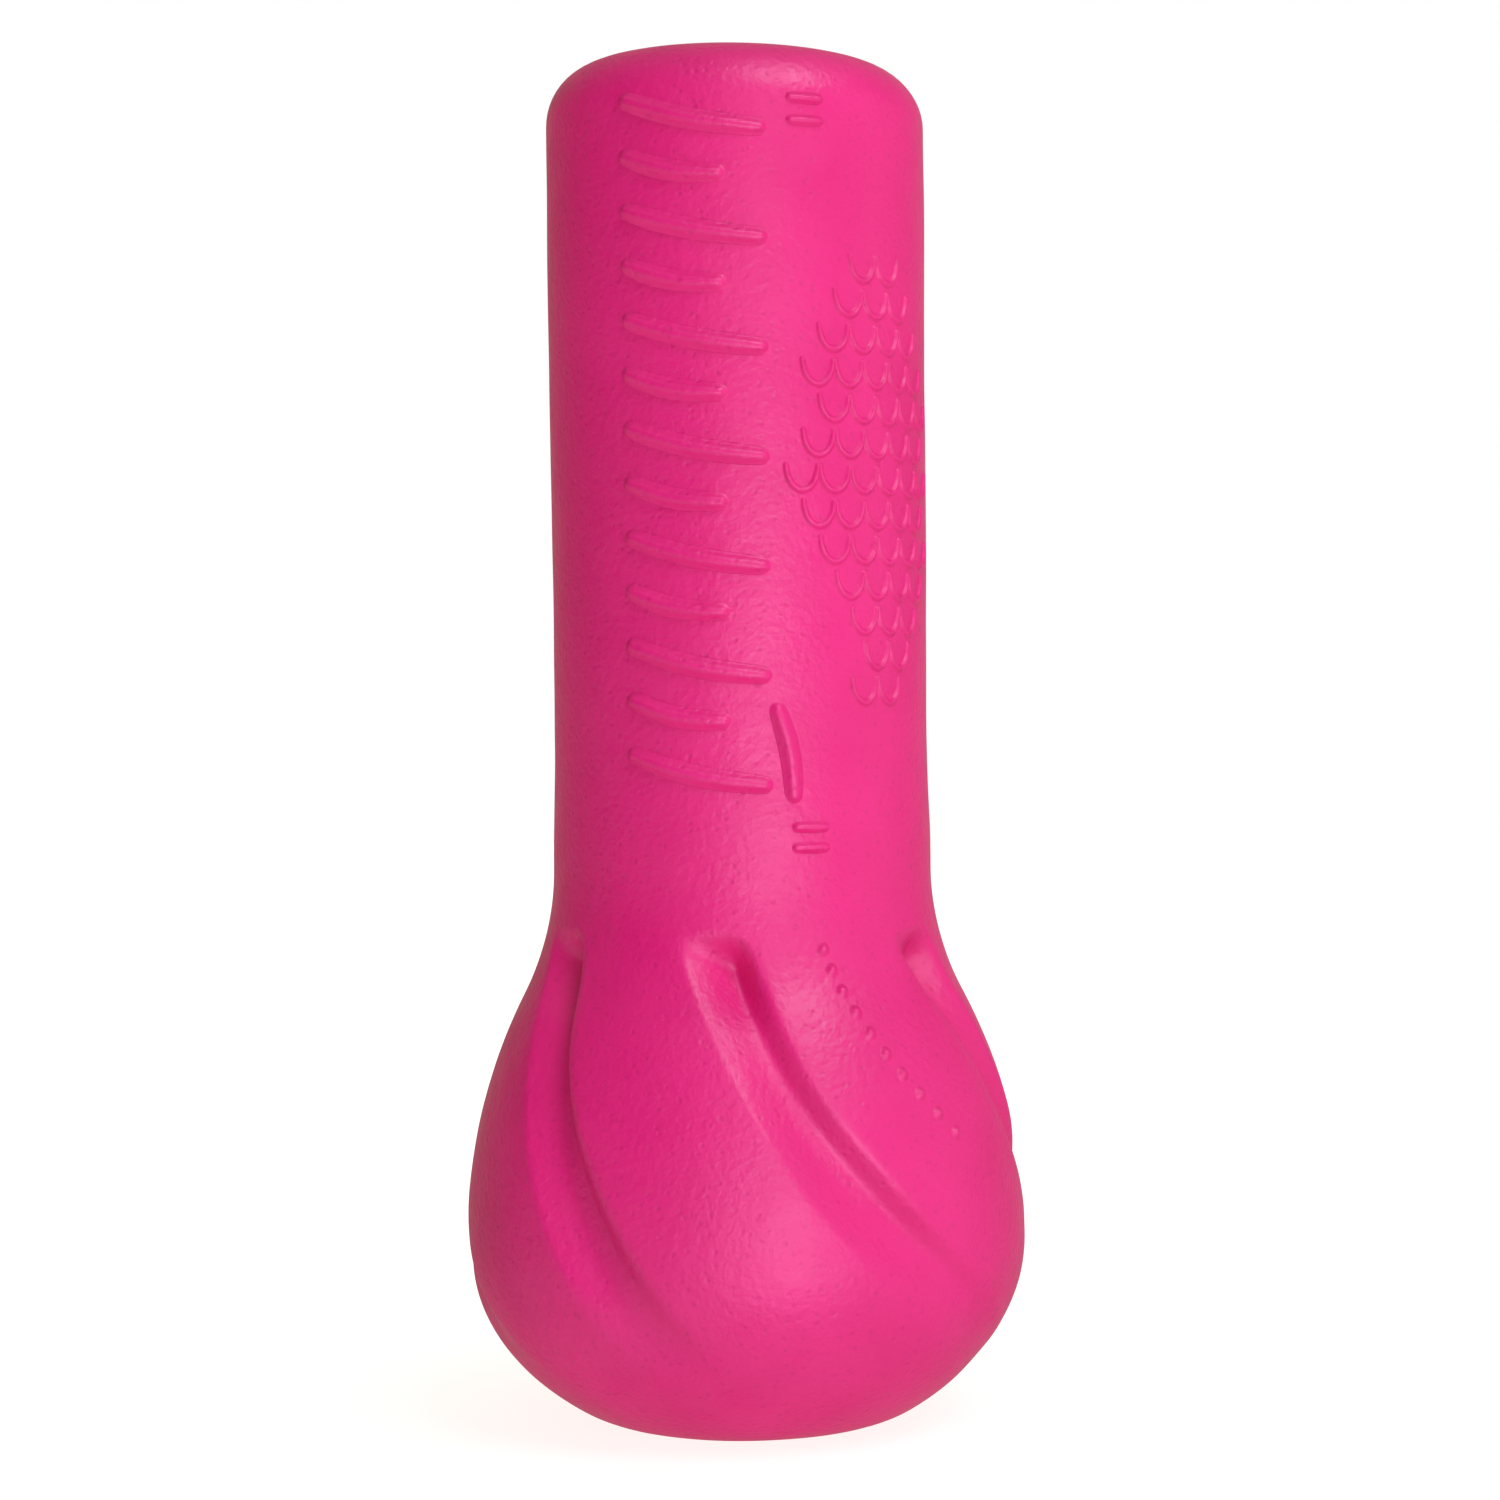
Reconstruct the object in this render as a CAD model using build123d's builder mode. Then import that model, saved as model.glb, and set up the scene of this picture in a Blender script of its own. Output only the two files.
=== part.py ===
from build123d import *
import os
from math import acos, cos, degrees, hypot, radians, sin, sqrt

# Rod butt cushion: a soft foam moulding with a straight stem and a fluted bulb, which slips over
# the butt of a fishing rod. Inside it are a rubber liner, a hard cup that stops the butt, and the
# steel pin that the butt's slotted nock sits on.
#
# Millimetres. The origin is the middle of the foot, +Z runs up the stem to the mouth, and -Y is
# the front. Azimuths are in degrees from the front, positive towards +X.

# Foam moulding
HEIGHT = 200.0
STEM_R = 28.0
MOUTH_ROUND = 8.8  # radius of the stem's outer top edge
BULB_R = 41.4
BULB_Z = 27.0  # height of the bulb's widest ring
FOOT_R = 21.0  # flat that the cushion stands on
FLANK_ARC = 78.3  # radius of the bulb's side, above its widest ring
NECK_ARC = 38.5  # radius of the hollow between bulb and stem

# Flutes that swirl down the bulb, from a pocket at the neck to nothing near the foot
FLUTES = (
    # azimuth of the flute's top, its turn in degrees per mm of drop, and further degrees per
    # cubic mm of drop
    (-59.0, 0.60, 0.00007),
    (-5.7, 0.75, 0.00016),
    (60.0, 0.75, 0.00016),
    (119.0, 0.72, 0.00013),
    (178.0, 0.70, 0.00012),
    (238.0, 0.65, 0.00010),
)
FLUTE_TOP_Z = 68.5
FLUTE_DROP = 64.0  # height from a flute's top to where it has faded out
FLUTE_DEPTH = 2.0
POCKET_DEPTH = 1.8  # added at a flute's top
FLUTE_TOOL_R = 6.0
FLUTE_CLEARANCE = 0.2  # of the cutting tool above the surface where a flute ends
FLUTE_STATIONS = 9

# Socket for the rod butt
BUTT_R = 16.0  # takes a butt of 1 1/4 in
LINER_WALL = 1.5
LIP_R = 19.0
LIP_THICK = 1.5
LIP_SINK = 0.8  # of the lip's top below the foam's
CUP_BASE_Z = 35.0
CUP_R = 19.5
CUP_FLOOR = 5.0
CUP_STEP_Z = 54.0  # ledge that the liner and the butt end on
CUP_TOP_Z = 60.0
NOCK_R = 14.0
FLANGE_R = 27.0
FLANGE_THICK = 3.0
KEY_HOLE_R = 2.5
KEY_CIRCLE_R = 23.2
KEY_COUNT = 6
PIN_R = 2.5
PIN_Z = 46.0
VENT_R = 2.5

# Worked out from those
BOWL_ANGLE = acos(FOOT_R / BULB_R)  # of the ellipse's arc from the widest ring to the foot
BOWL_DEPTH = BULB_Z / sin(BOWL_ANGLE)  # the ellipse's half height
FLANK_X = BULB_R - FLANK_ARC  # the flank arc's centre is at (FLANK_X, BULB_Z)
NECK_X = STEM_R + NECK_ARC  # the neck arc's centre is at (NECK_X, NECK_Z)
NECK_Z = BULB_Z + sqrt((FLANK_ARC + NECK_ARC) ** 2 - (NECK_X - FLANK_X) ** 2)
FLANK_SHARE = FLANK_ARC / (FLANK_ARC + NECK_ARC)
FLANK_END = (
    FLANK_X + (NECK_X - FLANK_X) * FLANK_SHARE,
    BULB_Z + (NECK_Z - BULB_Z) * FLANK_SHARE,
)
LINER_R = BUTT_R + LINER_WALL
LINER_TOP_Z = HEIGHT - LIP_SINK
LIP_Z = LINER_TOP_Z - LIP_THICK


def surface(z):
    """Radius of the bulb or stem at height z, and its outward normal as (radial, upward)."""
    if z >= NECK_Z:
        return STEM_R, (1.0, 0.0)
    if z >= FLANK_END[1]:
        reach = sqrt(NECK_ARC**2 - (NECK_Z - z) ** 2)
        return NECK_X - reach, (reach / NECK_ARC, (NECK_Z - z) / NECK_ARC)
    if z >= BULB_Z:
        reach = sqrt(FLANK_ARC**2 - (z - BULB_Z) ** 2)
        return FLANK_X + reach, (reach / FLANK_ARC, (z - BULB_Z) / FLANK_ARC)
    radius = BULB_R * sqrt(1 - ((z - BULB_Z) / BOWL_DEPTH) ** 2)
    slope = (radius / BULB_R**2, (z - BULB_Z) / BOWL_DEPTH**2)
    length = hypot(*slope)
    return radius, (slope[0] / length, slope[1] / length)


def flute_points(azimuth, turn, curl):
    """Centres of the round tool that cuts a flute, from its top down, lifting clear at the end."""
    points = []
    for i in range(FLUTE_STATIONS):
        share = i / (FLUTE_STATIONS - 1)
        drop = FLUTE_DROP * share
        angle = radians(azimuth + turn * drop + curl * drop**3)
        radius, normal = surface(FLUTE_TOP_Z - drop)
        depth = FLUTE_DEPTH * (1 - share**4) - FLUTE_CLEARANCE * share
        if i == 0:
            depth += POCKET_DEPTH
        lift = FLUTE_TOOL_R - depth
        out = radius + normal[0] * lift
        points.append((out * sin(angle), -out * cos(angle), FLUTE_TOP_Z - drop + normal[1] * lift))
    return points


# Foam moulding: turned from one outline, then the flutes are cut.
with BuildPart() as cushion_body:
    with BuildSketch(Plane.XZ):
        with BuildLine():
            foot = Line((VENT_R, 0), (FOOT_R, 0))
            bowl_arc = degrees(BOWL_ANGLE)
            bowl = EllipticalCenterArc(
                (0, BULB_Z), BULB_R, BOWL_DEPTH, start_angle=-bowl_arc, arc_size=bowl_arc
            )
            flank = TangentArc(bowl @ 1, FLANK_END, tangent=(0, 1))
            neck = TangentArc(flank @ 1, (STEM_R, NECK_Z), tangent=flank % 1)
            stem = Line(neck @ 1, (STEM_R, HEIGHT - MOUTH_ROUND))
            rim = TangentArc(stem @ 1, (STEM_R - MOUTH_ROUND, HEIGHT), tangent=(0, 1))
            # The way back down is the seat of the lip, the liner, the cup and its flange.
            Polyline(
                rim @ 1,
                (LIP_R, HEIGHT),
                (LIP_R, LIP_Z),
                (LINER_R, LIP_Z),
                (LINER_R, CUP_TOP_Z),
                (CUP_R, CUP_TOP_Z),
                (CUP_R, CUP_BASE_Z + FLANGE_THICK),
                (FLANGE_R, CUP_BASE_Z + FLANGE_THICK),
                (FLANGE_R, CUP_BASE_Z),
                (VENT_R, CUP_BASE_Z),
                foot @ 0,
            )
        make_face()
    revolve(axis=Axis.Z)
    # Foam that has run through the holes of the cup's flange
    with Locations((0, 0, CUP_BASE_Z + FLANGE_THICK / 2)):
        with PolarLocations(KEY_CIRCLE_R, KEY_COUNT):
            Cylinder(KEY_HOLE_R, FLANGE_THICK)
    for flute in FLUTES:
        centres = flute_points(*flute)
        with BuildLine(mode=Mode.PRIVATE) as tool_path:
            Spline(*centres)
        with BuildSketch(Plane(origin=tool_path.line @ 0, z_dir=tool_path.line % 0)):
            Circle(FLUTE_TOOL_R)
        sweep(path=tool_path.line, mode=Mode.SUBTRACT)
        with Locations(centres[0]):
            Sphere(FLUTE_TOOL_R, mode=Mode.SUBTRACT)

# Rubber liner that grips the rod butt, with a lip that covers the foam's inner edge
with BuildPart() as grip_liner:
    with BuildSketch(Plane.XZ):
        Polygon(
            (BUTT_R, CUP_STEP_Z),
            (LINER_R, CUP_STEP_Z),
            (LINER_R, LIP_Z),
            (LIP_R, LIP_Z),
            (LIP_R, LINER_TOP_Z),
            (BUTT_R, LINER_TOP_Z),
            align=None,
        )
    revolve(axis=Axis.Z)
    lip_edges = grip_liner.edges().filter_by(GeomType.CIRCLE).group_by(Axis.Z)[-1]
    fillet(lip_edges.sort_by(SortBy.RADIUS)[-1], LIP_THICK / 2)

# Hard cup that the butt pushes on: its flange spreads the load in the foam
with BuildPart() as butt_cup:
    with BuildSketch(Plane.XY.offset(CUP_BASE_Z)):
        Circle(FLANGE_R)
    extrude(amount=FLANGE_THICK)
    with BuildSketch(Plane.XY.offset(CUP_BASE_Z)):
        Circle(CUP_R)
    extrude(amount=CUP_TOP_Z - CUP_BASE_Z)
    with Locations((0, 0, CUP_TOP_Z)):
        CounterBoreHole(NOCK_R, LINER_R, CUP_TOP_Z - CUP_STEP_Z, CUP_TOP_Z - CUP_BASE_Z - CUP_FLOOR)
    with Locations((0, 0, CUP_BASE_Z + CUP_FLOOR)):
        Hole(VENT_R, CUP_FLOOR)
    with Locations((0, 0, CUP_BASE_Z + FLANGE_THICK)):
        with PolarLocations(KEY_CIRCLE_R, KEY_COUNT):
            Hole(KEY_HOLE_R, FLANGE_THICK)
    with Locations(Plane.YZ):
        with Locations((0, PIN_Z)):
            Hole(PIN_R)

# Steel pin across the cup, trimmed to the cup's round outside
with BuildPart() as cross_pin:
    with BuildSketch(Plane.YZ):
        with Locations((0, PIN_Z)):
            Circle(PIN_R)
    extrude(amount=CUP_R, both=True)
    with BuildSketch(Plane.XY.offset(PIN_Z - PIN_R)):
        Circle(CUP_R)
    extrude(amount=2 * PIN_R, mode=Mode.INTERSECT)

os.makedirs("parts", exist_ok=True)
for label, piece in {
    "cushion_body": cushion_body,
    "grip_liner": grip_liner,
    "butt_cup": butt_cup,
    "cross_pin": cross_pin,
}.items():
    piece.part.label = label
    export_step(piece.part, f"parts/{label}.step")
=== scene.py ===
from math import acos, asin, atan2, cos, degrees, hypot, pi, radians, sin, sqrt

import bpy
import numpy as np
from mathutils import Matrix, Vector, noise


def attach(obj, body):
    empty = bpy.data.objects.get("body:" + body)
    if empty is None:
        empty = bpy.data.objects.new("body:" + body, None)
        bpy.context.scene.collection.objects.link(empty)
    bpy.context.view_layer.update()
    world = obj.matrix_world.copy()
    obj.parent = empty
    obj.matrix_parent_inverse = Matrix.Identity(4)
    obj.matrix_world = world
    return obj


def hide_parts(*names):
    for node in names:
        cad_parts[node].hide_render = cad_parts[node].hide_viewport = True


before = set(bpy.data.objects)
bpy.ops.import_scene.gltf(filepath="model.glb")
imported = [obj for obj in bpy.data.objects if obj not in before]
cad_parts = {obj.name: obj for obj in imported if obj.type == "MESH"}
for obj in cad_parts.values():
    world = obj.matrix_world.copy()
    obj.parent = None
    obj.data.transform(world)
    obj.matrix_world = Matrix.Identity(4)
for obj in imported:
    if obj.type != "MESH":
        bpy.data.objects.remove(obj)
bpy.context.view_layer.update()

# The looks of a foam rod butt cushion. Its shapes are worked out in millimetres and made in metres.
# Azimuths are from the front (-Y), positive towards +X, in degrees unless said otherwise.
MM = 0.001

# ---------------------------------------------------------------- shape of the foam moulding
HEIGHT, STEM_R, MOUTH_ROUND = 200.0, 28.0, 8.8
BULB_R, BULB_Z, FOOT_R = 41.4, 27.0, 21.0
FLANK_ARC, NECK_ARC = 78.3, 38.5  # radii of the bulb's side and of the hollow above it
FLAT_R, CORNER_ANGLE = 17.0, 0.13  # the foot's soft corner: where it starts, and reach in radians
VENT_R, VENT_ROUND = 2.5, 0.8
LINER_R, LIP_R, LIP_Z = 17.5, 19.0, 197.7
LIP_ROUND, LIP_EDGE, SEAT_EDGE = 0.2, 0.4, 0.3
CUP_R, CUP_TOP_Z, CUP_BASE_Z = 19.5, 60.0, 35.0
FLANGE_R, FLANGE_TOP_Z = 27.0, 38.0
BORE_ROW_Z, VENT_ROW_Z = 130.0, 18.0  # extra rows of points part way down the bore and the vent
MOUTH_TILT = 0.021  # fall of the mouth's edge towards +X
TILT_Z = (180.0, 198.0)  # where the tilt comes in

# Slow unevenness of the skin: (height in mm, frequency per mm), and where it fades out
LUMPS = ((0.16, 0.035), (0.05, 0.12))
LUMPS_FROM_R, LUMPS_TO_Z = (14.0, 26.0), (192.0, 199.0)
# The stem's slight waist, and its swell towards the mouth: size in mm, and where it comes in
WAIST, WAIST_IN, WAIST_OUT = 0.3, (84.0, 100.0), (100.0, 150.0)
SWELL, SWELL_IN = 0.2, (150.0, 182.0)
SHRINK, SHRINK_IN = 0.1, (84.0, 140.0)

# Flutes: azimuth at FLUTE_Z, swirl in degrees per mm of drop, and further degrees per cubic mm
FLUTES = (
    (-59.0, 0.60, 0.00007),
    (-5.7, 0.75, 0.00016),
    (60.0, 0.75, 0.00016),
    (119.0, 0.72, 0.00013),
    (178.0, 0.70, 0.00012),
    (238.0, 0.65, 0.00010),
)
FLUTE_Z = 68.5
FLUTE_TOP, FLUTE_END = 73.6, 4.5
FLUTE_DEPTH, FADE_FROM = 2.6, 36.0
SCOOP_DEPTH, SCOOP_FROM, SCOOP_END = 1.8, 69.0, 59.5  # the pocket at a flute's top
FLUTE_HALF = 4.8  # half width; the next two lines say what is added high up and low down
HALF_HIGH, HIGH_Z = 0.3, (38.0, 64.0)
HALF_LOW, LOW_Z = 1.2, (34.0, 58.0)
POCKET_ROUND_Z, POCKET_TOP = 70.0, 0.8  # the pocket narrows to this share at its very top
RAMP_IN, WALL_OUT = (-1.05, -0.7), (0.36, 1.0)  # across a flute, from -1 to 1
RAMP_END, RAMP_END_RISE, RAMP_END_Z = -0.05, 0.4, (36.0, 64.0)
SOFTEST, SOFT_Z = 0.9, (8.0, 36.0)
LEAST_R, FLUTE_LEAST_R = 12.0, 16.0  # rows of smaller radius take this one, or have no flutes
FLUTE_COLUMNS, LAND_COLUMNS = 22, 20
SEAT_COLUMNS_Z = 100.0  # the seat's columns are the stem's at this height

BOWL_ANGLE = acos(FOOT_R / BULB_R)
BOWL_DEPTH = BULB_Z / sin(BOWL_ANGLE)
FLANK_X, NECK_X = BULB_R - FLANK_ARC, STEM_R + NECK_ARC
NECK_Z = BULB_Z + sqrt((FLANK_ARC + NECK_ARC) ** 2 - (NECK_X - FLANK_X) ** 2)
ARC_END = asin((NECK_Z - BULB_Z) / (FLANK_ARC + NECK_ARC))
FLANK_TOP_Z = BULB_Z + FLANK_ARC * sin(ARC_END)
RIM_R, RIM_Z = STEM_R - MOUTH_ROUND, HEIGHT - MOUTH_ROUND


def smooth(x, low=0.0, high=1.0):
    """0 below low, 1 above high, and an S-curve between."""
    x = min(1.0, max(0.0, (x - low) / (high - low)))
    return x * x * (3 - 2 * x)


def bowl(t):
    """Point and outward normal on the bulb's underside, t radians below its widest ring."""
    slope = (cos(t) / BULB_R, -sin(t) / BOWL_DEPTH)
    size = hypot(*slope)
    return BULB_R * cos(t), BULB_Z - BOWL_DEPTH * sin(t), slope[0] / size, slope[1] / size


def outline(z):
    """(r, z, normal r, normal z) of the plain surface at height z, above the widest ring."""
    if z >= RIM_Z:
        t = asin(min(1.0, (z - RIM_Z) / MOUTH_ROUND))
        return RIM_R + MOUTH_ROUND * cos(t), z, cos(t), sin(t)
    if z >= NECK_Z:
        return STEM_R, z, 1.0, 0.0
    if z >= FLANK_TOP_Z:
        t = asin((NECK_Z - z) / NECK_ARC)
        return NECK_X - NECK_ARC * cos(t), z, cos(t), sin(t)
    t = asin((z - BULB_Z) / FLANK_ARC)
    return FLANK_X + FLANK_ARC * cos(t), z, cos(t), sin(t)


def outer_profile():
    """(r, z, normal r, normal z) from the vent's edge over the foot and bulb to the mouth."""
    rows = []
    for t in np.linspace(0, pi / 2, 5)[1:]:
        edge = 1 - cos(t), 1 - sin(t)
        rows.append((VENT_R + VENT_ROUND * edge[0], VENT_ROUND * edge[1], -cos(t), -sin(t)))
    rows += [(r, 0.0, 0.0, -1.0) for r in np.linspace(2 * VENT_R, FLAT_R - 1, 5)]
    # soft corner from the foot's flat into the bowl
    start = BOWL_ANGLE - CORNER_ANGLE
    r2, z2, nr, nz = bowl(start)
    r1 = r2 + z2 * nz / nr
    for u in np.linspace(0, 1, 10)[:-1]:
        r = (1 - u) ** 2 * FLAT_R + 2 * u * (1 - u) * r1 + u * u * r2
        tilt = u * atan2(nr, -nz)
        rows.append((r, u * u * z2, sin(tilt), -cos(tilt)))
    rows += [bowl(t) for t in np.linspace(start, 0, 50)]
    rows += [outline(z) for z in np.linspace(BULB_Z, FLANK_TOP_Z, 64)[1:]]
    rows += [outline(z) for z in np.linspace(FLANK_TOP_Z, NECK_Z, 32)[1:]]
    rows += [outline(z) for z in np.linspace(NECK_Z, RIM_Z, 56)[1:]]
    for t in np.linspace(0, pi / 2, 15)[1:]:
        rows.append((RIM_R + MOUTH_ROUND * cos(t), RIM_Z + MOUTH_ROUND * sin(t), cos(t), sin(t)))
    for t in np.linspace(0, pi / 2, 4)[1:]:
        edge = 1 - sin(t), 1 - cos(t)
        rows.append((LIP_R + LIP_ROUND * edge[0], HEIGHT - LIP_ROUND * edge[1], -sin(t), cos(t)))
    return rows


def inner_profile():
    """(r, z) of the seat of the lip, liner, cup and flange, and the vent, from the mouth down."""
    return [
        (LIP_R, LIP_Z + LIP_EDGE),
        (LIP_R - SEAT_EDGE, LIP_Z),
        (LINER_R + SEAT_EDGE, LIP_Z),
        (LINER_R, LIP_Z - SEAT_EDGE),
        (LINER_R, BORE_ROW_Z),
        (LINER_R, CUP_TOP_Z),
        (CUP_R, CUP_TOP_Z),
        (CUP_R, FLANGE_TOP_Z),
        (FLANGE_R, FLANGE_TOP_Z),
        (FLANGE_R, CUP_BASE_Z),
        (VENT_R, CUP_BASE_Z),
        (VENT_R, VENT_ROW_Z),
        (VENT_R, VENT_ROUND),
    ]


def unevenness(r, a, z):
    """How far the soft moulding's skin stands off its plain outline, in millimetres."""
    at = Vector((r * sin(a), -r * cos(a), z))
    slow = sum(height * noise.noise(at * frequency) for height, frequency in LUMPS)
    steady = smooth(r, *LUMPS_FROM_R) * (1 - smooth(z, *LUMPS_TO_Z))
    waist = WAIST * smooth(z, *WAIST_IN) * (1 - smooth(z, *WAIST_OUT))
    swell = SWELL * smooth(z, *SWELL_IN) - SHRINK * smooth(z, *SHRINK_IN)
    return steady * (slow - waist + swell)


def place(r, a, z):
    """The point at radius r, azimuth a in radians and height z, with the mouth's slight tilt."""
    x = r * sin(a)
    return x, -r * cos(a), z - MOUTH_TILT * x * smooth(z, *TILT_Z)


def skin(a, z, up):
    """The point up millimetres above the foam's skin, at azimuth a in radians and height z."""
    r, z, nr, nz = outline(z)
    up += unevenness(r, a, z)
    return place(r + nr * up, a, z + nz * up)


def flute_turn(flute, z):
    """Azimuth of a flute's middle at height z."""
    azimuth, turn, curl = flute
    drop = FLUTE_Z - min(z, FLUTE_TOP)
    return azimuth + turn * drop + curl * max(0.0, drop) ** 3


def flute_depth(z):
    """Depth along the surface normal: a scooped pocket at the top, then a slow fade."""
    start = smooth(-z, -FLUTE_TOP, -SCOOP_FROM)
    scoop = start * (1 - smooth(-z, -SCOOP_FROM, -SCOOP_END))
    groove = start * (1 - smooth(-z, -FADE_FROM, -FLUTE_END))
    return FLUTE_DEPTH * groove + SCOOP_DEPTH * scoop


def flute_half_width(flute, z, r):
    """Half the flute's angular width in degrees, at a row whose radius is r."""
    wide = FLUTE_HALF + HALF_HIGH * smooth(z, *HIGH_Z) + HALF_LOW * (1 - smooth(z, *LOW_Z))
    if z > POCKET_ROUND_Z:
        share = (z - POCKET_ROUND_Z) / (FLUTE_TOP - POCKET_ROUND_Z)
        wide *= POCKET_TOP + (1 - POCKET_TOP) * sqrt(max(0.0, 1 - share**2))
    drop = max(0.0, FLUTE_Z - z)
    slope = radians(flute[1] + 3 * flute[2] * drop**2) * r
    return degrees(wide * hypot(1, slope) / r)


def flute_section(u, softness, ramp_end):
    """Share of the depth at u across the flute, from -1 at its left edge to 1 at its right.

    The left side is a ramp from the edge to ramp_end, and the right side is a steeper wall."""
    share = min(1.0, (u + 1) / (ramp_end + 1))
    ramp = 0.5 * (share + smooth(share)) * smooth(u, *RAMP_IN)
    sharp = ramp * (1 - smooth(u, *WALL_OUT))
    soft = cos(pi / 2 * min(1.0, abs(u))) ** 2
    return sharp + (soft - sharp) * softness


def column_angles(z, r):
    """(azimuth, u across a flute or None) of every column at a row."""
    middles = [flute_turn(flute, z) for flute in FLUTES]
    halves = [flute_half_width(flute, z, r) for flute in FLUTES]
    columns = []
    for k, (middle, half) in enumerate(zip(middles, halves)):
        after = (k + 1) % len(FLUTES)
        for u in np.linspace(-1, 1, FLUTE_COLUMNS + 1)[:-1]:
            columns.append((middle + u * half, u))
        start = middle + half
        end = middles[after] - halves[after] + (0 if after else 360)
        for share in np.linspace(0, 1, LAND_COLUMNS + 1)[:-1]:
            columns.append((start + share * (end - start), None))
    return columns


def foam_points():
    """Every point of the moulding, row by row, and the number of rows."""
    points, rows = [], 0
    for r, z, nr, nz in outer_profile():
        wide = max(r, LEAST_R)
        depth = flute_depth(z) if FLUTE_END < z < FLUTE_TOP and r > FLUTE_LEAST_R else 0.0
        softness = SOFTEST * (1 - smooth(z, *SOFT_Z))
        ramp_end = RAMP_END + RAMP_END_RISE * smooth(z, *RAMP_END_Z)
        for azimuth, u in column_angles(z, wide):
            a = radians(azimuth)
            move = unevenness(wide, a, z)
            if u is not None:
                move -= depth * flute_section(u, softness, ramp_end)
            points.append(place(r + nr * move, a, z + nz * move))
        rows += 1
    seat_angles = [radians(azimuth) for azimuth, _ in column_angles(SEAT_COLUMNS_Z, STEM_R)]
    for r, z in inner_profile():
        points += [(r * sin(a), -r * cos(a), z) for a in seat_angles]
        rows += 1
    return points, rows


def foam_faces(rows, columns):
    """Faces that join each row to the next, and the last to the first."""
    faces = []
    for i in range(rows):
        below, above = i * columns, (i + 1) % rows * columns
        for j in range(columns):
            k = (j + 1) % columns
            faces.append((below + j, below + k, above + k, above + j))
    return faces


# ---------------------------------------------------------------- marks raised on the foam
# A path on the stem is made of (arc length from the front, height), in millimetres.
SUNK = 0.02  # depth of a mark's edge below the skin
ROOT = 0.5  # depth of its closed underside
CREST = 0.15  # share of the half width from which a mark falls away
STROKE_SPACING, STROKE_ACROSS, STROKE_CAP = 0.6, 13, 6  # mm, then counts of points
LOOK_AHEAD = 0.3  # mm to either side over which a stroke's direction is taken
PIP_SHARES = (1.0, 0.86, 0.7, 0.54, 0.38, 0.22, 0.1)
PIP_SIDES = 16

RIB_COUNT, RIB_TOP_Z, RIB_PITCH = 13, 190.8, 7.7
RIB_START, RIB_ENDS = -33.0, (7.0, -5.0)  # azimuths; long and short ribs take turns
RIB_FALL, RIB_BOW = 4.4, -0.8
RIB_HALF, RIB_HEIGHT = 1.65, 1.0
TAIL = ((11.0, 104.5), (15.5, 92.5), 0.6)  # the steep rib beside the last ones
BARS = ((16.4, 25.2, 190.8), (16.4, 25.2, 187.6), (16.1, 24.9, 88.0), (16.1, 24.9, 85.1))
BAR_HALF, BAR_HEIGHT = 0.9, 0.7
PIP_COUNT, PIP_AZIMUTH, PIP_TOP_Z, PIP_PITCH = 10, 22.6, 70.8, 2.9
PIP_TURN, PIP_CURL = 1.4, 0.17  # degrees per pip, and per pip squared
PIP_R, PIP_HEIGHT = 1.1, 0.6

# Diamond-shaped panel of overlapping fish scales, on the right of the stem
SCALE_ROWS, SCALE_COLUMNS = 13, 6
SCALE_TOP_Z, SCALE_DROP = 169.0, 5.0
SCALE_AZIMUTH, SCALE_TURN = 19.0, 10.6
PANEL_AZIMUTH, PANEL_LEAN, PANEL_LIMIT = 47.0, 0.6, 74.0
PANEL_HALF_TURN, PANEL_HALF_ROWS, PANEL_EDGE = 34.0, 8.5, 1.02
SCALE_WIDE, SCALE_DEEP = 2.4, 3.5
SCALE_HALF, SCALE_HEIGHT = 0.62, 0.45


def add_loops(points, faces, loops):
    """Closed surface through loops of points, each a ring of the same length."""
    first, n = len(points), len(loops[0])
    for loop in loops:
        points += loop
    for i in range(len(loops) - 1):
        low, high = first + i * n, first + (i + 1) * n
        for j in range(n):
            k = (j + 1) % n
            faces.append((low + j, high + j, high + k, low + k))
    faces.append(tuple(first + j for j in range(n)))
    faces.append(tuple(first + (len(loops) - 1) * n + j for j in reversed(range(n))))


def add_stroke(points, faces, path, half, height, taper):
    """A closed raised stroke along path on the stem, with round ends."""
    path = np.array(path, float)
    steps = np.linalg.norm(np.diff(path, axis=0), axis=1)
    along = np.concatenate([[0], np.cumsum(steps)])
    total = along[-1]
    cap = half * taper
    ends = cap * np.cos(np.linspace(0.06, pi / 2, STROKE_CAP))[:-1]
    between = np.linspace(0, total, max(5, int(total / STROKE_SPACING)))
    loops = []
    for s in [*-ends, *between, *(total + ends[::-1])]:
        inside = min(max(s, 0.0), total)
        beyond = s - inside
        here, ahead, behind = (
            np.array([np.interp(at, along, path[:, i]) for i in (0, 1)])
            for at in (inside, min(inside + LOOK_AHEAD, total), max(inside - LOOK_AHEAD, 0.0))
        )
        way = (ahead - behind) / np.linalg.norm(ahead - behind)
        side = np.array([-way[1], way[0]])
        here = here + way * beyond
        share = max(0.0, sin(pi * inside / total))
        wide = half * (taper + (1 - taper) * share**0.6)
        edge = sqrt(max(0.0, 1 - (beyond / cap) ** 2)) * wide
        loop = []
        for u in np.linspace(-1, 1, STROKE_ACROSS):
            off = min(1.0, hypot(u * edge, beyond * wide / cap) / wide)
            up = height * (wide / half) * (1 - smooth(off, CREST, 1.0)) - SUNK
            loop.append((here + side * u * edge, up))
        loop.append((here + side * 0.9 * edge, -ROOT))
        loop.append((here - side * 0.9 * edge, -ROOT))
        loops.append([skin(at[0] / STEM_R, at[1], up) for at, up in loop])
    add_loops(points, faces, loops)


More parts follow.
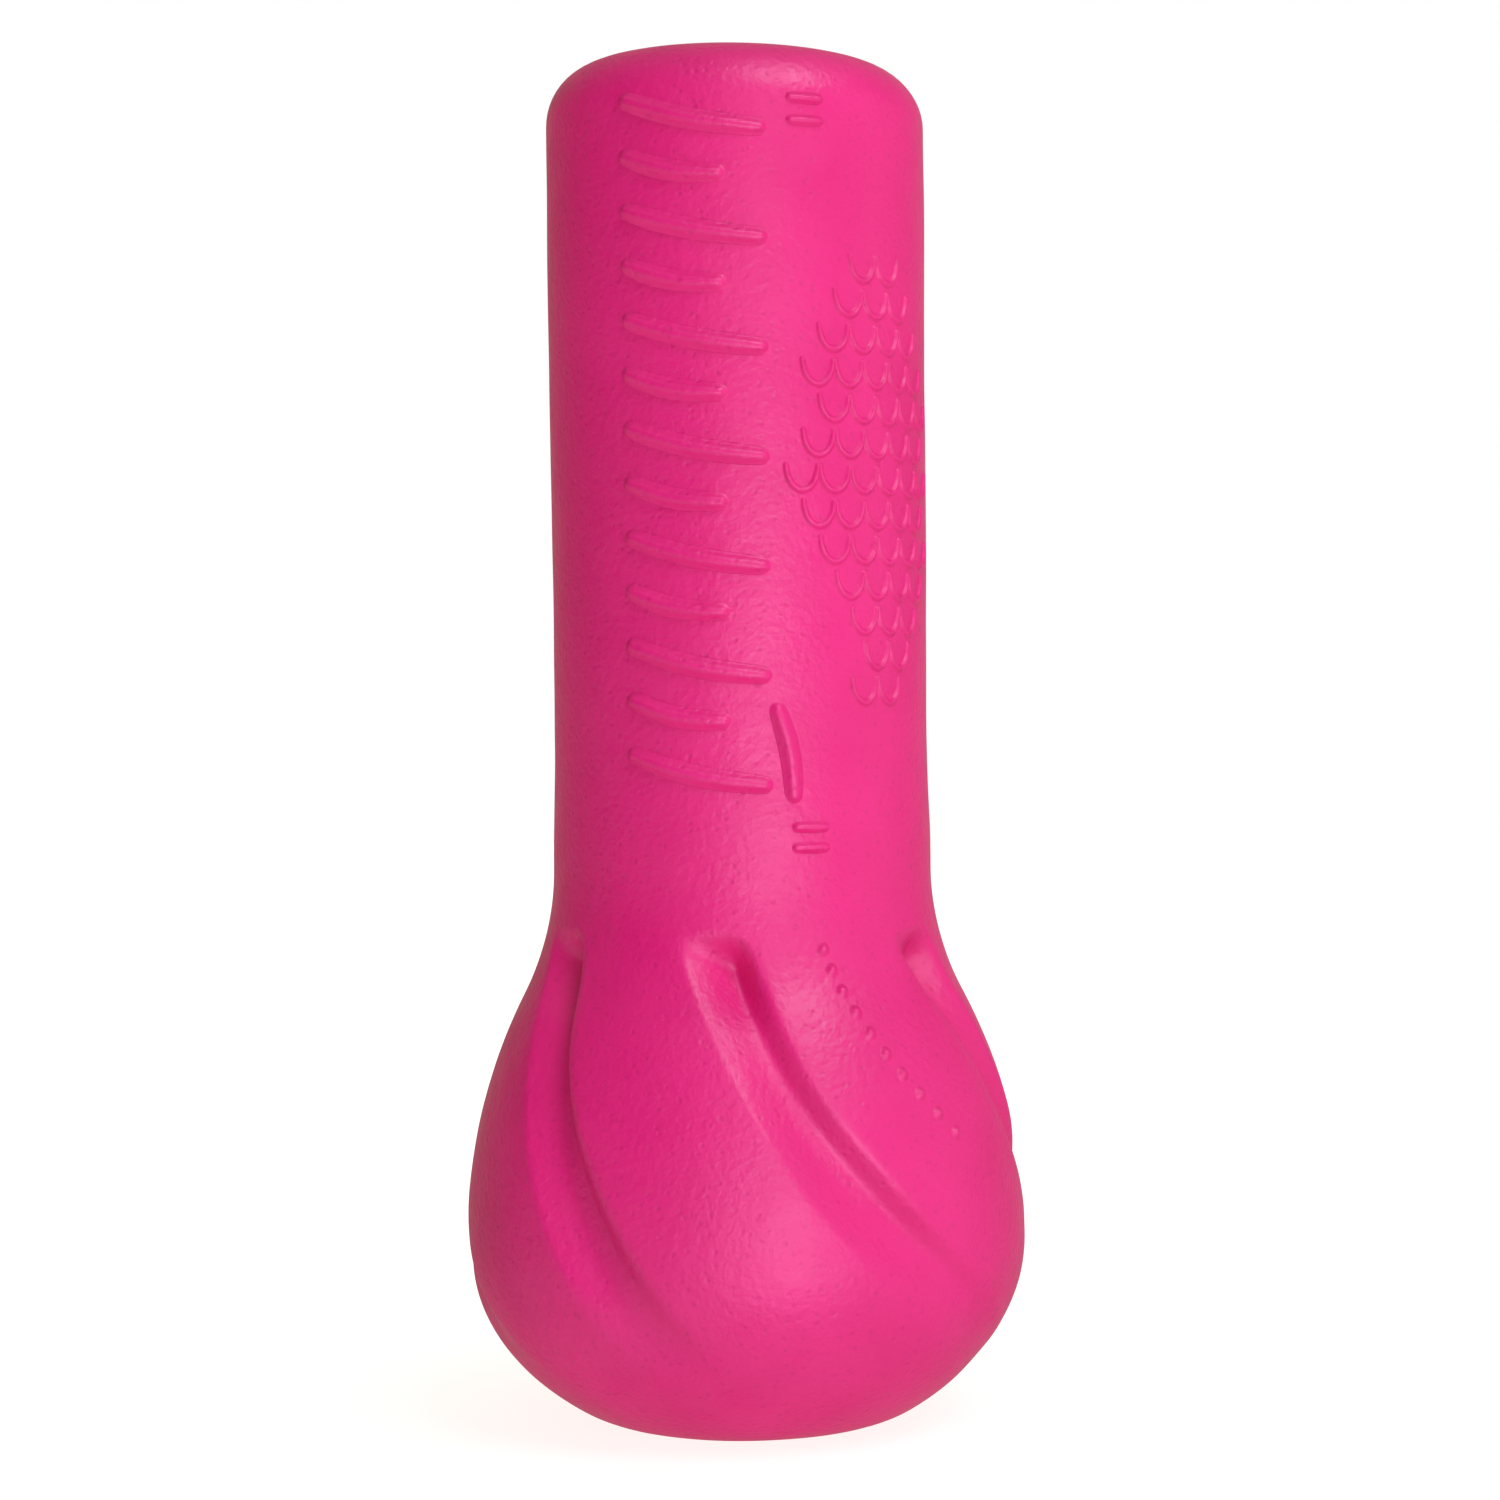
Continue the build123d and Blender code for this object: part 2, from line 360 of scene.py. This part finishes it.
def add_pip(points, faces, azimuth, z):
    """A small raised dot on the bulb."""
    rings = [(0.5, -ROOT), (1.0, -ROOT)]
    rings += [(s, PIP_HEIGHT * (1 - smooth(s, CREST, 1.0)) - SUNK) for s in PIP_SHARES]
    loops = []
    for share, up in rings:
        loop = []
        for t in np.linspace(0, -2 * pi, PIP_SIDES + 1)[:-1]:
            a = radians(azimuth) + PIP_R * share * cos(t) / outline(z)[0]
            loop.append(skin(a, z + PIP_R * share * sin(t), up))
        loops.append(loop)
    add_loops(points, faces, loops)


def bowed(start, end, bow):
    """A line from start to end that stands off by bow in its middle."""
    start, end = np.array(start, float), np.array(end, float)
    way = (end - start) / np.linalg.norm(end - start)
    side = np.array([-way[1], way[0]])
    return [start + (end - start) * t + side * bow * sin(pi * t) for t in np.linspace(0, 1, 25)]


def arc_of(azimuth):
    """Arc length round the stem from the front to an azimuth."""
    return radians(azimuth) * STEM_R


def scale_arc(x, z):
    """One fish-scale arc, hanging from arc length x and height z."""
    turn = np.linspace(pi, 2 * pi, 13)
    return [(x + SCALE_WIDE * cos(t), z + SCALE_DEEP * sin(t)) for t in turn]


def add_ribs(points, faces):
    ribs = [TAIL]
    for i in range(RIB_COUNT):
        z, end = RIB_TOP_Z - i * RIB_PITCH, RIB_ENDS[i % 2]
        fall = RIB_FALL * (end - RIB_START) / (RIB_ENDS[0] - RIB_START)
        ribs.append(((RIB_START, z), (end, z - fall), RIB_BOW))
    for (a0, z0), (a1, z1), bow in ribs:
        path = bowed((arc_of(a0), z0), (arc_of(a1), z1), bow)
        add_stroke(points, faces, path, RIB_HALF, RIB_HEIGHT, taper=0.8)


def add_scales(points, faces):
    for row in range(SCALE_ROWS):
        from_middle = row - SCALE_ROWS // 2
        middle = PANEL_AZIMUTH + PANEL_LEAN * from_middle
        for column in range(SCALE_COLUMNS):
            azimuth = SCALE_AZIMUTH + SCALE_TURN * column + SCALE_TURN / 2 * (row % 2)
            reach = abs(azimuth - middle) / PANEL_HALF_TURN + abs(from_middle) / PANEL_HALF_ROWS
            if azimuth < PANEL_LIMIT and reach < PANEL_EDGE:
                path = scale_arc(arc_of(azimuth), SCALE_TOP_Z - row * SCALE_DROP)
                add_stroke(points, faces, path, SCALE_HALF, SCALE_HEIGHT, taper=0.8)


def marks():
    """Points and faces of every raised mark."""
    points, faces = [], []
    add_ribs(points, faces)
    add_scales(points, faces)
    for start, end, z in BARS:
        path = [(arc_of(start), z), (arc_of(end), z)]
        add_stroke(points, faces, path, BAR_HALF, BAR_HEIGHT, taper=0.9)
    for i in range(PIP_COUNT):
        azimuth = PIP_AZIMUTH + PIP_TURN * i + PIP_CURL * i * i
        add_pip(points, faces, azimuth, PIP_TOP_Z - PIP_PITCH * i)
    return points, faces


def mesh_object(name, points, faces):
    mesh = bpy.data.meshes.new(name)
    mesh.from_pydata([[c * MM for c in p] for p in points], [], faces)
    mesh.validate()
    mesh.update()
    mesh.polygons.foreach_set("use_smooth", [True] * len(mesh.polygons))
    obj = bpy.data.objects.new(name, mesh)
    bpy.context.scene.collection.objects.link(obj)
    return obj


points, rows = foam_points()
faces = foam_faces(rows, len(points) // rows)
mark_points, mark_faces = marks()
faces += [tuple(len(points) + i for i in face) for face in mark_faces]
points += mark_points
foam = mesh_object("foam_moulding", points, faces)

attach(foam, "root")
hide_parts("cushion_body")


# ---------------------------------------------------------------- materials
def new_material(name):
    material = bpy.data.materials.new(name)
    material.use_nodes = True
    nodes, links = material.node_tree.nodes, material.node_tree.links
    return material, nodes, links, nodes["Principled BSDF"]


def add_noise(nodes, links, scale, detail, stretch=None):
    """Noise in the object's own coordinates, in metres; stretch scales them along each axis."""
    texture = nodes.new("ShaderNodeTexNoise")
    texture.inputs["Scale"].default_value = scale
    texture.inputs["Detail"].default_value = detail
    vector = nodes.new("ShaderNodeTexCoord").outputs["Object"]
    if stretch:
        mapping = nodes.new("ShaderNodeMapping")
        mapping.inputs["Scale"].default_value = stretch
        links.new(vector, mapping.inputs["Vector"])
        vector = mapping.outputs["Vector"]
    links.new(vector, texture.inputs["Vector"])
    return texture.outputs["Fac"]


def ramp(nodes, links, value, stops):
    """A colour ramp between two stops, each (position, colour)."""
    node = nodes.new("ShaderNodeValToRGB")
    for element, (position, colour) in zip(node.color_ramp.elements, stops):
        element.position = position
        element.color = (*colour, 1)
    links.new(value, node.inputs["Fac"])
    return node.outputs["Color"]


def grey_ramp(nodes, links, value, low, high):
    return ramp(nodes, links, value, [(0.3, (low,) * 3), (0.7, (high,) * 3)])


def bump(nodes, links, shader, heights):
    """Chains bumps: (height, strength, distance in mm)."""
    normal = None
    for height, strength, distance in heights:
        node = nodes.new("ShaderNodeBump")
        node.inputs["Strength"].default_value = strength
        node.inputs["Distance"].default_value = distance * MM
        links.new(height, node.inputs["Height"])
        if normal:
            links.new(normal, node.inputs["Normal"])
        normal = node.outputs["Normal"]
    links.new(normal, shader.inputs["Normal"])


def foam_material():
    """Closed-cell foam with a moulded skin: mottled, lightly grained, and pricked with pores, with
    painted shade darkening the colour in each pore.
    """
    material, nodes, links, shader = new_material("foam_skin")
    mottle = add_noise(nodes, links, 60, 8)
    pinks = [(0.3, (0.665, 0.006, 0.150)), (0.7, (0.725, 0.010, 0.171))]
    colour = ramp(nodes, links, mottle, pinks)
    pores = nodes.new("ShaderNodeTexVoronoi")
    pores.inputs["Scale"].default_value = 620
    coordinates = nodes.new("ShaderNodeTexCoord")
    links.new(coordinates.outputs["Object"], pores.inputs["Vector"])
    pits_and_pit_shade = ramp(nodes, links, pores.outputs["Distance"], [(0.05, (0.0,) * 3), (0.3, (1.0,) * 3)])
    # Painted shade: the colour is darkened by up to a tenth towards each pore's middle, where the
    # pore's bump sinks in.
    painted_pit_shade = nodes.new("ShaderNodeMix")
    painted_pit_shade.data_type = "RGBA"
    painted_pit_shade.blend_type = "MULTIPLY"
    painted_pit_shade.inputs["Factor"].default_value = 0.10
    links.new(colour, painted_pit_shade.inputs["A"])
    links.new(pits_and_pit_shade, painted_pit_shade.inputs["B"])
    links.new(painted_pit_shade.outputs["Result"], shader.inputs["Base Color"])
    shader.inputs["Specular IOR Level"].default_value = 0.5
    gloss = add_noise(nodes, links, 160, 3)
    links.new(grey_ramp(nodes, links, gloss, 0.40, 0.50), shader.inputs["Roughness"])
    grain = add_noise(nodes, links, 850, 3)
    bump(nodes, links, shader, [(grain, 0.6, 0.28), (pits_and_pit_shade, 0.6, 0.08)])
    return material


def dull_material(name, tones, tone_scale, roughness, gloss_scale, grain, grain_scale):
    """Rubber or nylon: two tones, a range of roughness, and a grain of (strength, mm)."""
    material, nodes, links, shader = new_material(name)
    slow = add_noise(nodes, links, tone_scale, 3)
    colour = ramp(nodes, links, slow, [(0.3, tones[0]), (0.7, tones[1])])
    links.new(colour, shader.inputs["Base Color"])
    gloss = add_noise(nodes, links, gloss_scale, 3)
    links.new(grey_ramp(nodes, links, gloss, *roughness), shader.inputs["Roughness"])
    bump(nodes, links, shader, [(add_noise(nodes, links, grain_scale, 2), *grain)])
    return material


def rubber_material():
    tones = (0.018, 0.018, 0.02), (0.03, 0.03, 0.032)
    return dull_material("liner_rubber", tones, 90, (0.55, 0.72), 300, (0.2, 0.08), 1500)


def nylon_material():
    tones = (0.035, 0.036, 0.04), (0.05, 0.05, 0.055)
    return dull_material("cup_nylon", tones, 120, (0.38, 0.5), 400, (0.15, 0.05), 2500)


def steel_material():
    """Steel, brushed along the pin."""
    material, nodes, links, shader = new_material("pin_steel")
    brushed = add_noise(nodes, links, 400, 3, stretch=(0.04, 1, 1))
    colour = ramp(nodes, links, brushed, [(0.3, (0.50, 0.50, 0.51)), (0.7, (0.66, 0.66, 0.67))])
    links.new(colour, shader.inputs["Base Color"])
    shader.inputs["Metallic"].default_value = 1.0
    links.new(grey_ramp(nodes, links, brushed, 0.24, 0.4), shader.inputs["Roughness"])
    bump(nodes, links, shader, [(brushed, 0.15, 0.03)])
    return material


def paint(obj, material):
    obj.data.materials.clear()
    obj.data.materials.append(material)


paint(foam, foam_material())
paint(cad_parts["grip_liner"], rubber_material())
paint(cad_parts["butt_cup"], nylon_material())
paint(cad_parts["cross_pin"], steel_material())

# ---------------------------------------------------------------- floor, light and camera
FLOOR_R, FLOOR_DROP = 3.0, 0.0002
# The floor glows, so that it looks white. It glows a little less under the cushion, where it takes
# a faint shadow: from NEAR_SHARE of the glow inside GLOW_NEAR to all of it beyond GLOW_FAR.
GLOW_COLOUR, GLOW = (1.0, 0.965, 0.93, 1), 1.2
GLOW_NEAR, GLOW_FAR, NEAR_SHARE = 0.02, 0.14, 0.76


def floor_material():
    material, nodes, links, shader = new_material("pale_floor")
    shader.inputs["Base Color"].default_value = (0.9, 0.9, 0.9, 1)
    shader.inputs["Roughness"].default_value = 0.8
    shader.inputs["Specular IOR Level"].default_value = 0.2
    glow = nodes.new("ShaderNodeEmission")
    glow.inputs["Color"].default_value = GLOW_COLOUR
    glow.inputs["Strength"].default_value = GLOW
    coordinates = nodes.new("ShaderNodeTexCoord")
    length = nodes.new("ShaderNodeVectorMath")
    length.operation = "LENGTH"
    fade = nodes.new("ShaderNodeMapRange")
    fade.interpolation_type = "SMOOTHSTEP"
    fade.inputs["From Min"].default_value = GLOW_NEAR
    fade.inputs["From Max"].default_value = GLOW_FAR
    fade.inputs["To Min"].default_value = NEAR_SHARE
    mix = nodes.new("ShaderNodeMixShader")
    links.new(coordinates.outputs["Object"], length.inputs[0])
    links.new(length.outputs["Value"], fade.inputs["Value"])
    links.new(fade.outputs["Result"], mix.inputs["Fac"])
    links.new(shader.outputs["BSDF"], mix.inputs[1])
    links.new(glow.outputs["Emission"], mix.inputs[2])
    links.new(mix.outputs["Shader"], nodes["Material Output"].inputs["Surface"])
    return material


bpy.ops.mesh.primitive_circle_add(
    vertices=96, radius=FLOOR_R, fill_type="NGON", location=(0, 0, -FLOOR_DROP)
)
floor = bpy.context.object
floor.name = "floor"
paint(floor, floor_material())
floor.visible_glossy = False

AIM = (0, 0, 0.1)
LIGHTS = (
    # name, place, diameter, power, colour
    ("key", (0.42, -0.58, 0.94), 0.6, 7.0, (0.92, 1.0, 1.16)),
    ("right", (1.0, -0.1, 0.3), 0.8, 1.0, (0.95, 1.02, 1.15)),
    ("front", (-0.1, -0.9, 0.5), 0.8, 0.4, (1, 1, 1)),
    ("low", (0.10, -0.36, 0.01), 0.3, 0.95, (0.92, 1.05, 1.3)),
)


def area_light(name, location, size, power, colour):
    light = bpy.data.lights.new(name, "AREA")
    light.shape = "DISK"
    light.size = size
    light.energy = power
    light.color = colour
    obj = bpy.data.objects.new(name, light)
    bpy.context.scene.collection.objects.link(obj)
    obj.location = location
    obj.rotation_euler = (Vector(AIM) - Vector(location)).to_track_quat("-Z", "Y").to_euler()


for light in LIGHTS:
    area_light(*light)

# Light from all round, as a soft lobe along each of these axes; the camera sees it as plain white
LOBES = {"X": 0.1, "Y": 0.5, "Z": 0.4}
FILL_COLOUR = (1.1, 0.98, 0.72, 1)

world = bpy.data.worlds.new("studio")
bpy.context.scene.world = world
world.use_nodes = True
nodes, links = world.node_tree.nodes, world.node_tree.links
direction = nodes.new("ShaderNodeSeparateXYZ")
links.new(nodes.new("ShaderNodeTexCoord").outputs["Generated"], direction.inputs["Vector"])
total = None
for axis, strength in LOBES.items():
    side = nodes.new("ShaderNodeMath")
    side.operation = "MAXIMUM"
    side.inputs[1].default_value = 0
    links.new(direction.outputs[axis], side.inputs[0])
    squared = nodes.new("ShaderNodeMath")
    squared.operation = "MULTIPLY"
    links.new(side.outputs["Value"], squared.inputs[0])
    links.new(side.outputs["Value"], squared.inputs[1])
    added = nodes.new("ShaderNodeMath")
    added.operation = "MULTIPLY_ADD"
    links.new(squared.outputs["Value"], added.inputs[0])
    added.inputs[1].default_value = strength
    added.inputs[2].default_value = 0
    if total:
        links.new(total, added.inputs[2])
    total = added.outputs["Value"]
fill = nodes["Background"]
fill.inputs["Color"].default_value = FILL_COLOUR
links.new(total, fill.inputs["Strength"])
white = nodes.new("ShaderNodeBackground")
white.inputs["Color"].default_value = (1, 1, 1, 1)
path = nodes.new("ShaderNodeLightPath")
mix = nodes.new("ShaderNodeMixShader")
links.new(path.outputs["Is Camera Ray"], mix.inputs["Fac"])
links.new(fill.outputs["Background"], mix.inputs[1])
links.new(white.outputs["Background"], mix.inputs[2])
links.new(mix.outputs["Shader"], nodes["World Output"].inputs["Surface"])

bpy.context.scene.view_settings.view_transform = "Standard"

camera = bpy.data.objects.new("camera", bpy.data.cameras.new("camera"))
bpy.context.scene.collection.objects.link(camera)
camera.data.sensor_width = 36
camera.data.lens = 76.8
camera.data.clip_start = 0.01
camera.location = (0.00132, -0.477, 0.09895)
camera.rotation_euler = (pi / 2, radians(0.63), 0)
bpy.context.scene.camera = camera
